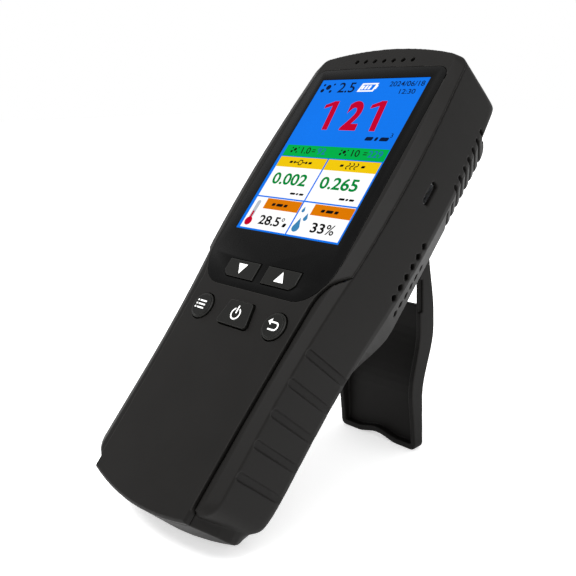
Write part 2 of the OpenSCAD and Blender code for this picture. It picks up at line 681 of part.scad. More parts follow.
module kickstand() {
    color("#232220") lean() at_hinge() rotate([stand_open, 0, 0]) translate([0, -hinge_y, -hinge_z]) difference() {
        union() {
            across(stand_half, plate_side());
            mirror_x() translate([stand_half - flange_t / 2, 0, 0]) across(flange_t / 2, stand_side());
            mirror_x() at_hinge() rod_x(knuckle_r, stand_half - flange_t, stand_half);
            // Rim along the feet
            intersection() {
                across(stand_half, stand_side());
                translate([0, 0, -60]) linear_extrude(60) polygon(under_feet(foot_rim));
            }
        }
        translate([0, 0, -60]) linear_extrude(60) polygon(under_feet(0));
        at_hinge() rod_x(pin_d / 2 + pin_clear, -40, 40);
        // Rebate along the inner edge of each arm
        mirror_x() box(stand_half - 1.3, stand_half + 5, -38, -25, -32.7, -29);
    }
}
module hinge_pin() {
    color("#a9abad") lean() at_hinge() rod_x(pin_d / 2, -27.2, 27.2);
}
module pin_clips() {
    color("#8d8f92") lean() mirror_x() at_hinge() difference() {
        rod_x(2.7, 26.1, 27);
        rod_x(pin_d / 2 + 0.02, 26, 28);
    }
}

front_cover();
rear_cover();
display_lens();
lens_gasket();
lcd_panel();
lcd_frame();
lcd_ribbon();
key_down();
key_up();
key_set();
key_power();
key_esc();
tact_switches();
main_board();
board_screws();
usb_socket();
battery_cell();
battery_tray();
battery_lead();
sensor_case();
sensor_lid();
sensor_fan();
fan_motor();
sensor_lead();
formaldehyde_sensor();
voc_sensor();
humidity_sensor();
buzzer();
left_dust_screen();
right_dust_screen();
case_screws();
kickstand();
hinge_pin();
pin_clips();
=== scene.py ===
"""Visual model of a handheld air quality monitor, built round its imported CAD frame."""

import json
import math

import bmesh
import bpy
from mathutils import Matrix, Vector

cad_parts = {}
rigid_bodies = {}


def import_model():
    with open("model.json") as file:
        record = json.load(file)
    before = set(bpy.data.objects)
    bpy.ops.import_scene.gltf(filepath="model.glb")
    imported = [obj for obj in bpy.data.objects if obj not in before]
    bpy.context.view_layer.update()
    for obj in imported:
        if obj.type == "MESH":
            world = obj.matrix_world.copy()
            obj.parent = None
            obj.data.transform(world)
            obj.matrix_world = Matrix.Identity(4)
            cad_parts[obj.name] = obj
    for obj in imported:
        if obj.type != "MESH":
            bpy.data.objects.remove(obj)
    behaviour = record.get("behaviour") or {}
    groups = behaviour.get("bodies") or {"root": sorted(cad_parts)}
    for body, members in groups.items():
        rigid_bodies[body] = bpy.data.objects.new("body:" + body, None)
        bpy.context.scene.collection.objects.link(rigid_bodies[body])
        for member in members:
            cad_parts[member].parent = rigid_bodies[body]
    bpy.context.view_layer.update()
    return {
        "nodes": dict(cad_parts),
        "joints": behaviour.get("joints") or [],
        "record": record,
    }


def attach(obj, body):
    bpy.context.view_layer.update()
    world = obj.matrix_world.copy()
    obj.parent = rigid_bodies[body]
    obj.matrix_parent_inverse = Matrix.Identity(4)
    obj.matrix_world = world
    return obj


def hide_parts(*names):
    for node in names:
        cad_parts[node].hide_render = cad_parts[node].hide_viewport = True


bl_info = {
    "name": "Air Quality Monitor",
    "version": (1, 0, 0),
    "blender": (4, 5, 0),
    "location": "View3D > Sidebar > Monitor",
    "description": "Builds the shells, display, keys, fittings and stage of a handheld monitor",
    "category": "Object",
}

# The default scene's own cube, lamp and camera
for spare in list(bpy.data.objects):
    bpy.data.objects.remove(spare)
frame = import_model()

MM = 0.001
# Where the stand's pin lies from the middle of the display, in millimetres
PIN_UP = 5.4
PIN_BACK = 32.4
SCREEN_W = 52.56
SCREEN_H = 70.08
# A softened piece of more triangles than this is thinned down to about this many
MOST_TRIANGLES = 190000
# The display's layout is drawn on a grid this many units wide
LAYOUT_W = 48.6
# Height of the picture's lowest layer on the case's axes in millimetres, and between layers in units
PICTURE_LEVEL = -0.13
LAYER_STEP = 0.03
# Rear corners that are rounded further, right side, in millimetres, and how far round each it reaches
HEAD_CORNER = (33.5, 46, -29.5)
GRIP_CORNER = (31.5, -125, -28)
CORNER_REACH = 11


def case_axes():
    """The case's own axes, x right of the screen, y up its long side, z out of it, in metres."""
    record = frame["record"]
    inward = Vector(next(m for m in record["mounts"] if m["name"] == "back_face")["axis"])
    pin = Vector(next(j for j in frame["joints"] if j["name"] == "stand_fold")["pos_m"])
    right = Vector((1, 0, 0))
    out = -inward.normalized()
    up = out.cross(right)
    origin = pin - up * PIN_UP * MM + out * PIN_BACK * MM
    axes = Matrix((right, up, out)).transposed().to_4x4()
    axes.translation = origin
    return axes


AXES = case_axes()


# ---- Colours and node trees ----


def linear(code, alpha=1.0):
    """Turns an sRGB hex colour to linear values."""
    values = [int(code[i : i + 2], 16) / 255 for i in (1, 3, 5)]
    return (*[v / 12.92 if v <= 0.04045 else ((v + 0.055) / 1.055) ** 2.4 for v in values], alpha)


def socket_of(sockets, name):
    """The socket in use that has this name, spaces and capitals aside, or this number."""
    if isinstance(name, int):
        return sockets[name]
    wanted = name.lower().replace("_", " ")
    return next(socket for socket in sockets if socket.enabled and socket.name.lower() == wanted)


def add(tree, kind, links=None, **settings):
    """Adds a node. Settings name its own properties or its sockets; links name sockets and sources."""
    made = tree.nodes.new(kind)
    for name, value in settings.items():
        if hasattr(made, name):
            setattr(made, name, value)
        else:
            socket_of(made.inputs, name).default_value = value
    for name, (source, output) in (links or {}).items():
        tree.links.new(socket_of(source.outputs, output), socket_of(made.inputs, name))
    return made


def new_material(name):
    material = bpy.data.materials.new(name)
    material.use_nodes = True
    material.node_tree.nodes.clear()
    return material, material.node_tree


def surfaced(material, links, **settings):
    """Ends a material in a principled surface with these links and settings."""
    tree = material.node_tree
    shader = add(tree, "ShaderNodeBsdfPrincipled", links, **settings)
    add(tree, "ShaderNodeOutputMaterial", {"Surface": (shader, "BSDF")})
    return material


def ramp(tree, source, output, stops):
    made = add(tree, "ShaderNodeValToRGB", {"Fac": (source, output)})
    made.color_ramp.elements[0].position = stops[0][0]
    made.color_ramp.elements[0].color = stops[0][1]
    made.color_ramp.elements[1].position = stops[-1][0]
    made.color_ramp.elements[1].color = stops[-1][1]
    for position, colour in stops[1:-1]:
        made.color_ramp.elements.new(position).color = colour
    return made


def noise(tree, place, size_mm, detail, roughness=0.5):
    """A noise pattern whose features have a real size, fixed to the piece."""
    return add(
        tree,
        "ShaderNodeTexNoise",
        {"Vector": (place, "Object")},
        scale=1 / (size_mm * MM),
        detail=detail,
        roughness=roughness,
    )


def spread(tree, pattern, low, high):
    """A noise pattern's value spread over another range."""
    return add(tree, "ShaderNodeMapRange", {"Value": (pattern, "Fac")}, to_min=low, to_max=high)


def grey(value):
    return (value, value, value, 1.0)


def moulded_plastic(name, code, edge, rough, grit_mm, grit_depth, edge_wear_and_highlight=0.35, specular=0.08):
    """Injection moulded plastic with a spark-eroded grain, mottled gloss and lightened edges.

    The grain breaks the highlight into a soft satin, handling polishes broad patches of it,
    and the edges are painted a little lighter, partly as rubbed wear and partly as a painted highlight."""
    material, tree = new_material(name)
    place = add(tree, "ShaderNodeTexCoord")
    grain = noise(tree, place, grit_mm, 3.0, 0.6)
    mottle = noise(tree, place, 16, 4.0)
    dust = noise(tree, place, 1.1, 6.0, 0.7)
    # An edge is where the surface a little way off faces another way
    shape = add(tree, "ShaderNodeNewGeometry")
    around = add(tree, "ShaderNodeBevel", samples=6, radius=0.5 * MM)
    both = {0: (shape, "Normal"), 1: (around, "Normal")}
    turned = add(tree, "ShaderNodeVectorMath", both, operation="DOT_PRODUCT")
    # Edges, convex and hollow alike, are lightened in the colour: partly rubbed wear, partly a painted
    # highlight on their lips
    edges = ramp(tree, turned, "Value", [(0.88, grey(edge_wear_and_highlight)), (0.99, grey(0))])
    patchy_edge_wear_and_highlight = add(tree, "ShaderNodeMath", {0: (edges, "Color"), 1: (dust, "Fac")}, operation="MULTIPLY")
    tone = ramp(tree, mottle, "Fac", [(0.35, linear(code)), (0.65, linear(shade(code, 1.13)))])
    colour = add(
        tree,
        "ShaderNodeMix",
        {"Factor": (patchy_edge_wear_and_highlight, "Value"), "A": (tone, "Color")},
        data_type="RGBA",
        B=linear(edge),
    )
    gloss = spread(tree, mottle, rough - 0.06, rough + 0.07)
    bump = add(tree, "ShaderNodeBump", {"Height": (grain, "Fac")}, strength=0.55, distance=grit_depth * MM)
    return surfaced(
        material,
        {"Base Color": (colour, "Result"), "Roughness": (gloss, "Result"), "Normal": (bump, "Normal")},
        ior=1.53,
        specular_ior_level=specular,
    )


def shade(code, factor):
    """A hex colour made lighter or darker."""
    return "#" + "".join(f"{min(255, round(int(code[i : i + 2], 16) * factor)):02x}" for i in (1, 3, 5))


def polished_acrylic(name, code):
    """Black acrylic, cast smooth and printed on its back: a deep gloss with faint wipe marks."""
    material, tree = new_material(name)
    place = add(tree, "ShaderNodeTexCoord")
    wipes = noise(tree, place, 9, 5.0, 0.65)
    gloss = spread(tree, wipes, 0.2, 0.34)
    tone = ramp(tree, wipes, "Fac", [(0.3, linear(code)), (0.7, linear(shade(code, 1.25)))])
    waves = add(tree, "ShaderNodeBump", {"Height": (wipes, "Fac")}, strength=0.1, distance=0.02 * MM)
    return surfaced(
        material,
        {"Base Color": (tone, "Color"), "Roughness": (gloss, "Result"), "Normal": (waves, "Normal")},
        ior=1.49,
        specular_ior_level=0.05,
    )


def lit_colour(name, code, strength=1.0):
    """One colour of a backlit display: a grid of picture cells and a slightly uneven backlight.

    The cells are 0.16 mm apart on such a panel and are drawn 0.4 mm apart, so that they show."""
    material, tree = new_material(name)
    place = add(tree, "ShaderNodeTexCoord")
    cells = add(
        tree,
        "ShaderNodeTexBrick",
        {"Vector": (place, "Object")},
        offset=0.0,
        scale=1.0,
        brick_width=0.4 * MM,
        row_height=0.4 * MM,
        mortar_size=0.03 * MM,
        color1=linear(code),
        color2=linear(shade(code, 1.02)),
        mortar=linear(shade(code, 0.95)),
    )
    glow = noise(tree, place, 30, 1.0)
    level = spread(tree, glow, strength * 0.93, strength * 1.07)
    return surfaced(
        material,
        {"Emission Color": (cells, "Color"), "Emission Strength": (level, "Result")},
        base_color=grey(0.0),
        roughness=0.3,
        ior=1.5,
        specular_ior_level=0.005,
    )


def printed_ink(name, code):
    """Pad printed ink, thick and slightly uneven, with pinholes where it missed the grain."""
    material, tree = new_material(name)
    place = add(tree, "ShaderNodeTexCoord")
    film = noise(tree, place, 0.3, 4.0, 0.6)
    tone = ramp(tree, film, "Fac", [(0.28, linear(shade(code, 0.8))), (0.42, linear(code))])
    lay = add(tree, "ShaderNodeBump", {"Height": (film, "Fac")}, strength=0.3, distance=0.02 * MM)
    return surfaced(
        material,
        {"Base Color": (tone, "Color"), "Normal": (lay, "Normal")},
        roughness=0.5,
        ior=1.5,
    )


def plated_metal(name, code, rough, brush_mm):
    """Plated steel with drawing lines that stretch the highlight one way and dull patches between."""
    material, tree = new_material(name)
    place = add(tree, "ShaderNodeTexCoord")
    stretch = add(tree, "ShaderNodeMapping", {"Vector": (place, "Object")}, Scale=(0.08, 1.0, 1.0))
    along = {"Vector": (stretch, "Vector")}
    lines = add(tree, "ShaderNodeTexNoise", along, scale=1 / (brush_mm * MM), detail=3.0)
    dull = noise(tree, place, 2.5, 4.0)
    gloss = spread(tree, dull, rough - 0.08, rough + 0.1)
    tone = ramp(tree, lines, "Fac", [(0.3, linear(shade(code, 0.88))), (0.7, linear(code))])
    bump = add(tree, "ShaderNodeBump", {"Height": (lines, "Fac")}, strength=0.25, distance=0.01 * MM)
    return surfaced(
        material,
        {"Base Color": (tone, "Color"), "Roughness": (gloss, "Result"), "Normal": (bump, "Normal")},
        metallic=1.0,
    )


def woven_mesh(name, code):
    """Woven nylon dust mesh: crossing 0.25 mm threads with dark gaps, dull and slightly fuzzy."""
    material, tree = new_material(name)
    place = add(tree, "ShaderNodeTexCoord")
    turns = 1 / (0.5 * MM * 2 * math.pi)
    across = add(tree, "ShaderNodeTexWave", {"Vector": (place, "Object")}, bands_direction="Y", scale=turns)
    along = add(tree, "ShaderNodeTexWave", {"Vector": (place, "Object")}, bands_direction="Z", scale=turns)
    weave = add(tree, "ShaderNodeMath", {0: (across, "Fac"), 1: (along, "Fac")}, operation="MAXIMUM")
    tone = ramp(tree, weave, "Value", [(0.35, linear(shade(code, 0.3))), (0.75, linear(code))])
    bump = add(tree, "ShaderNodeBump", {"Height": (weave, "Value")}, strength=0.8, distance=0.1 * MM)
    return surfaced(
        material,
        {"Base Color": (tone, "Color"), "Normal": (bump, "Normal")},
        roughness=0.85,
        ior=1.53,
        sheen_weight=0.2,
    )


def worked_surface(name, code, rough, size_mm, depth_mm, contrast=0.15, ior=1.5):
    """A general part surface whose tone, gloss and relief follow one pattern of a real size."""
    material, tree = new_material(name)
    place = add(tree, "ShaderNodeTexCoord")
    pattern = noise(tree, place, size_mm, 5.0, 0.6)
    tone = ramp(
        tree,
        pattern,
        "Fac",
        [(0.3, linear(shade(code, 1 - contrast))), (0.7, linear(shade(code, 1 + contrast)))],
    )
    gloss = spread(tree, pattern, rough - 0.08, rough + 0.08)
    bump = add(tree, "ShaderNodeBump", {"Height": (pattern, "Fac")}, strength=0.4, distance=depth_mm * MM)
    return surfaced(
        material,
        {"Base Color": (tone, "Color"), "Roughness": (gloss, "Result"), "Normal": (bump, "Normal")},
        ior=ior,
    )


def lit_board(name, code, level):
    """Opal acrylic over lamps: matt white that glows very slightly unevenly."""
    material, tree = new_material(name)
    place = add(tree, "ShaderNodeTexCoord")
    cloud = noise(tree, place, 60, 3.0)
    tone = ramp(tree, cloud, "Fac", [(0.3, linear(shade(code, 0.985))), (0.7, linear(code))])
    return surfaced(
        material,
        {"Base Color": (tone, "Color"), "Emission Color": (tone, "Color")},
        emission_strength=level,
        roughness=0.9,
        ior=1.49,
        specular_ior_level=0.1,
    )


# ---- Meshes ----


def show(mesh, name, material, body, slot, *nodes):
    """Adds a mesh as a piece that rides on a body, takes a material and stands for CAD nodes, which it hides.
    The slot is not used.
    """
    piece = bpy.data.objects.new(name, mesh)
    bpy.context.scene.collection.objects.link(piece)
    mesh.materials.clear()
    mesh.materials.append(material)
    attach(piece, body)
    if nodes:
        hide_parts(*nodes)
    return piece


def welded(node):
    """A copy of a CAD node's mesh with the points its faces share joined up."""
    mesh = frame["nodes"][node].data.copy()
    form = bmesh.new()
    form.from_mesh(mesh)
    bmesh.ops.remove_doubles(form, verts=form.verts, dist=0.002 * MM)
    form.to_mesh(mesh)
    form.free()
    return mesh


def modified(mesh, *modifiers, spots=()):
    """The mesh that a list of modifiers makes of another. Each is a kind and its settings.

    Spots, each a place and a reach, make up a vertex group by that name."""
    work = bpy.data.objects.new("work", mesh)
    bpy.context.scene.collection.objects.link(work)
    group = work.vertex_groups.new(name="spots") if spots else None
    for spot, reach in spots:
        for vertex in mesh.vertices:
            share = 1 - (vertex.co - Vector(spot)).length / reach
            if share > 0:
                group.add([vertex.index], min(1.0, share * 2), "REPLACE")
    for kind, settings in modifiers:
        modifier = work.modifiers.new(kind, kind)
        for name, value in settings.items():
            setattr(modifier, name, value)
    made = bpy.data.meshes.new_from_object(work.evaluated_get(bpy.context.evaluated_depsgraph_get()))
    bpy.data.objects.remove(work)
    return made


def softened(node, cell_mm, passes, spots=()):
    """A CAD node's mesh remade with moulded, rounded edges, more so about the spots.

    The cells lie along the case's axes."""
    # Worked in millimetres, because thinning rounds off what is as small as a cell in metres
    mesh = welded(node)
    mesh.transform(Matrix.Scale(1 / MM, 4) @ AXES.inverted())
    mesh = modified(
        mesh,
        ("REMESH", {"mode": "VOXEL", "voxel_size": cell_mm, "use_smooth_shade": True}),
        ("SMOOTH", {"factor": 0.5, "iterations": passes}),
    )
    if spots:
        rounding = {"factor": 0.6, "iterations": 130, "vertex_group": "spots"}
        mesh = modified(mesh, ("SMOOTH", rounding), spots=spots)
    triangles = sum(len(face.vertices) - 2 for face in mesh.polygons)
    if triangles > MOST_TRIANGLES:
        mesh = modified(mesh, ("DECIMATE", {"ratio": MOST_TRIANGLES / triangles}))
        mesh.shade_smooth()
        mesh = modified(mesh, ("WEIGHTED_NORMAL", {"keep_sharp": False}))
    mesh.transform(AXES @ Matrix.Scale(MM, 4))
    return mesh


def bevelled(node, width_mm, segments=3):
    """A CAD node's mesh with its flat faces joined up and its edges bevelled."""
    mesh = welded(node)
    form = bmesh.new()
    form.from_mesh(mesh)
    bmesh.ops.dissolve_limit(form, angle_limit=math.radians(0.5), verts=form.verts, edges=form.edges)
    form.to_mesh(mesh)
    form.free()
    mesh.shade_smooth()
    edge = {
        "width": width_mm * MM,
        "segments": segments,
        "limit_method": "ANGLE",
        "angle_limit": math.radians(35),
        "harden_normals": True,
    }
    return modified(mesh, ("BEVEL", edge))


class Drawing:
    """Flat shapes drawn on the case, in millimetres of its own axes, then made into one mesh."""

    def __init__(self, level, thickness=0.02):
        self.form = bmesh.new()
        self.level = level
        self.thickness = thickness

    def shape(self, points):
        low = [self.form.verts.new((x, y, self.level - self.thickness)) for x, y in points]
        high = [self.form.verts.new((x, y, self.level)) for x, y in points]
        self.form.faces.new(low[::-1])
        self.form.faces.new(high)
        for i in range(len(points)):
            j = (i + 1) % len(points)
            self.form.faces.new((low[i], low[j], high[j], high[i]))

    def bar(self, x0, x1, y0, y1, slant=0.0, corner=0.0):
        """A rectangle, slanted like italic type, with corners cut off where they are rounded."""
        points = []
        for cx, cy, start in ((x1, y0, -90), (x1, y1, 0), (x0, y1, 90), (x0, y0, 180)):
            steps = 3 if corner else 0
            for step in range(steps + 1):
                turn = math.radians(start + (90 * step / steps if steps else 45))
                inner_x = cx - math.copysign(corner, cx - (x0 + x1) / 2)
                inner_y = cy - math.copysign(corner, cy - (y0 + y1) / 2)
                points.append((inner_x + corner * math.cos(turn), inner_y + corner * math.sin(turn)))
        self.shape([(x + slant * (y - y0), y) for x, y in points])

    def ring(self, x, y, outer, inner, start=0.0, end=360.0, steps=40):
        """A ring or part of one, as a row of short pieces."""
        for i in range(steps):
            a, b = (math.radians(start + (end - start) * (i + k) / steps) for k in (0, 1))
            corners = ((inner, a), (outer, a), (outer, b), (inner, b))
            self.shape([(x + r * math.cos(t), y + r * math.sin(t)) for r, t in corners])

    def disc(self, x, y, radius, steps=28):
        turns = [2 * math.pi * i / steps for i in range(steps)]
        self.shape([(x + radius * math.cos(t), y + radius * math.sin(t)) for t in turns])

    def drop(self, x, y, radius):
        """A water drop: a round belly that runs up to a point."""
        turns = [math.radians(-220 + 260 * i / 20) for i in range(21)]
        belly = [(x + radius * math.cos(t), y + radius * math.sin(t)) for t in turns]
        self.shape(belly + [(x, y + radius * 2.4)])

    def motes(self, x, y, size):
        """Drifting particles: a few discs of different sizes."""
        places = ((0.2, 0.25), (0.75, 0.6), (0.15, 0.85), (1.2, 0.15), (1.3, 0.9))
        for (dx, dy), radius in zip(places, (0.2, 0.27, 0.13, 0.15, 0.11)):
            self.disc(x + dx * size, y + dy * size, radius * size, 16)

    def molecule(self, x, y, size):
        """A ring with two atoms joined to it."""
        self.ring(x, y, size * 0.5, size * 0.34, 0, 360, 6)
        for side in (-1, 1):
            self.bar(x + side * size * 0.45, x + side * size * 0.95, y - size * 0.07, y + size * 0.07)
            self.disc(x + side * size * 1.1, y, size * 0.2, 14)

    def waves(self, x, y, size):
        """Three rising curls of vapour."""
        for i in (-1, 0, 1):
            self.ring(x + i * size * 0.7, y + size * 0.22, size * 0.3, size * 0.15, -90, 90, 10)
            self.ring(x + i * size * 0.7, y - size * 0.22, size * 0.3, size * 0.15, 90, 270, 10)

    def pills(self, x, y, height, *widths):
        """Short rounded bars in a row, where a unit would stand."""
        for width in widths:
            self.bar(x, x + width, y, y + height, 0.2, height * 0.3)
            x += width + height * 0.6

    def one(self, x, y, height, slant=-0.12):
        """A heavy figure one: a slanted stem with a flag."""
        wide = height * 0.2
        self.bar(x, x + wide, y, y + height, slant)
        top = x + slant * height
        self.shape(
            [
                (top - height * 0.26, y + height * 0.74),
                (top + wide * 0.2, y + height * 0.84),
                (top + wide * 0.2, y + height),
                (top - height * 0.26, y + height * 0.87),
            ]
        )

    def numerals(self, text, x, y, height, slant=-0.12, weight=0.01, width=None):
        """Numbers in plain type, x and y being the lower left corner."""
        curve = bpy.data.curves.new("type", "FONT")
        curve.body = text
        curve.size = 1.0
        curve.shear = slant
        curve.offset = weight
        curve.resolution_u = 6
        work = bpy.data.objects.new("type", curve)
        bpy.context.scene.collection.objects.link(work)
        mesh = bpy.data.meshes.new_from_object(work.evaluated_get(bpy.context.evaluated_depsgraph_get()))
        low = [min(v.co[i] for v in mesh.vertices) for i in (0, 1)]
        high = [max(v.co[i] for v in mesh.vertices) for i in (0, 1)]
        tall = height / (high[1] - low[1])
        wide = width / (high[0] - low[0]) if width else tall
        sized = Matrix.Diagonal((wide, tall, tall, 1.0))
        placed = Matrix.Translation((x, y, self.level)) @ sized
        mesh.transform(placed @ Matrix.Translation((-low[0], -low[1], 0)))
        self.form.from_mesh(mesh)
        bpy.data.objects.remove(work)
        bpy.data.curves.remove(curve)

    def made(self, name, material, body, slot, *nodes):
        mesh = bpy.data.meshes.new(name)
        bmesh.ops.recalc_face_normals(self.form, faces=[f for f in self.form.faces if len(f.edges) != 3])
        self.form.to_mesh(mesh)
        self.form.free()
        mesh.transform(AXES @ Matrix.Scale(MM, 4))
        return show(mesh, name, material, body, slot, *nodes)


# ---- Settings ----


def colour_property(name, code, description):
    return bpy.props.StringProperty(name=name, default=code, description=description)


class MonitorCaseSettings(bpy.types.PropertyGroup):
    """Colours and edges of the moulded parts."""

    shell_colour: colour_property("Shell", "#11100f", "Colour of the moulded ABS, as sRGB hex")
    rubbed_and_highlighted_edge_colour: colour_property("Rubbed and highlighted edges", "#6a6865", "Colour where handling has rubbed the edges")
    # The edge colour lightens the edges as rubbed wear and also as a painted highlight
    lens_colour: colour_property("Lens", "#040404", "Colour printed behind the lens")
    key_colour: colour_property("Keys", "#0c0c0b", "Colour of the key caps")
    legend_colour: colour_property("Legends", "#f4f4f2", "Colour of the printed symbols")
    shell_cell: bpy.props.FloatProperty(
        name="Shell cell",
        default=0.36,
        min=0.2,
        max=0.8,
        description="Mesh cell of the shells, in millimetres",
    )
    key_cell: bpy.props.FloatProperty(
        name="Key cell", default=0.16, min=0.08, max=0.4, description="Mesh cell of the keys, in millimetres"
    )
    grain: bpy.props.FloatProperty(
        name="Grain", default=0.35, min=0.1, max=1.0, description="Size of the moulded grain, in millimetres"
    )


class MonitorDisplaySettings(bpy.types.PropertyGroup):
    """Colours and readings of the lit display."""

    field_colour: colour_property("Field", "#1278f0", "Background of the display")
    alert_colour: colour_property("Main reading", "#c6002c", "Colour of the large number")
    good_colour: colour_property("Good band", "#00b04a", "Colour of the upper band")
    label_colour: colour_property("Label band", "#f4cb0a", "Colour of the middle bands")
    warm_colour: colour_property("Climate band", "#e07a00", "Colour of the lower bands")
    main_reading: bpy.props.StringProperty(name="Reading", default="121", description="The large number")
    brightness: bpy.props.FloatProperty(
        name="Brightness", default=1.0, min=0.1, max=4.0, description="Strength of the backlight"
    )


class MonitorStageSettings(bpy.types.PropertyGroup):
    """Camera and light."""

    lens: bpy.props.FloatProperty(
        name="Lens", default=50.0, min=20, max=200, unit="CAMERA", description="Focal length of the camera"
    )
    key_power: bpy.props.FloatProperty(
        name="Key light", default=9.5, min=0, unit="POWER", description="Power of the large soft light"
    )
    room_level: bpy.props.FloatProperty(
        name="Room", default=1.0, min=0, description="Brightness of the white room"
    )
    table_level: bpy.props.FloatProperty(
        name="Table", default=0.5, min=0, description="Brightness of the lit floor"
    )


# ---- Pieces ----


class MONITOR_OT_shells(bpy.types.Operator):
    """Adds the front and rear shells with rounded moulded edges"""

    bl_idname = "monitor.shells"
    bl_label = "Shells"

    def execute(self, context):
        sizes = context.scene.monitor_case
        # ABS moulded in a spark-eroded tool: an even fine grain that keeps the gloss low
        # Their edges are lightened by the edge colour, as wear and as a painted highlight
        colours = sizes.shell_colour, sizes.rubbed_and_highlighted_edge_colour
        front = moulded_plastic("grained_abs_front", *colours, 0.5, sizes.grain, 0.03)
        rear = moulded_plastic("grained_abs_rear", *colours, 0.52, sizes.grain, 0.035)
        front_mesh = softened("front_cover", sizes.shell_cell * 0.75, 3)
        show(front_mesh, "front_shell", front, "case", "front_abs", "front_cover")
        spots = [
            ((side * x, y, z), CORNER_REACH) for x, y, z in (HEAD_CORNER, GRIP_CORNER) for side in (-1, 1)
        ]
        rear_mesh = softened("rear_cover", sizes.shell_cell, 3, spots)
        show(rear_mesh, "rear_shell", rear, "case", "rear_abs", "rear_cover")
        return {"FINISHED"}


class MONITOR_OT_stand(bpy.types.Operator):
    """Adds the fold-out stand"""

    bl_idname = "monitor.stand"
    bl_label = "Stand"

    def execute(self, context):
        sizes = context.scene.monitor_case
        # The same ABS with a slightly coarser grain, dulled by folding in and out of its recess
        # Its edges are lightened by the edge colour, as wear and as a painted highlight
        colours = sizes.shell_colour, sizes.rubbed_and_highlighted_edge_colour
        coarse = moulded_plastic("grained_abs_stand", *colours, 0.55, 0.4, 0.04)
        plate = softened("kickstand", sizes.shell_cell * 0.85, 4)
        show(plate, "stand", coarse, "stand", "rear_abs", "kickstand")
        return {"FINISHED"}


class MONITOR_OT_lens(bpy.types.Operator):
    """Adds the black lens round the display"""

    bl_idname = "monitor.lens"
    bl_label = "Lens"

    def execute(self, context):
        # Cast acrylic sheet, cut to shape, polished and printed black on its back
        acrylic = polished_acrylic("cast_black_acrylic", context.scene.monitor_case.lens_colour)
        show(bevelled("display_lens", 0.15), "lens", acrylic, "case", "lens_acrylic", "display_lens")
        return {"FINISHED"}


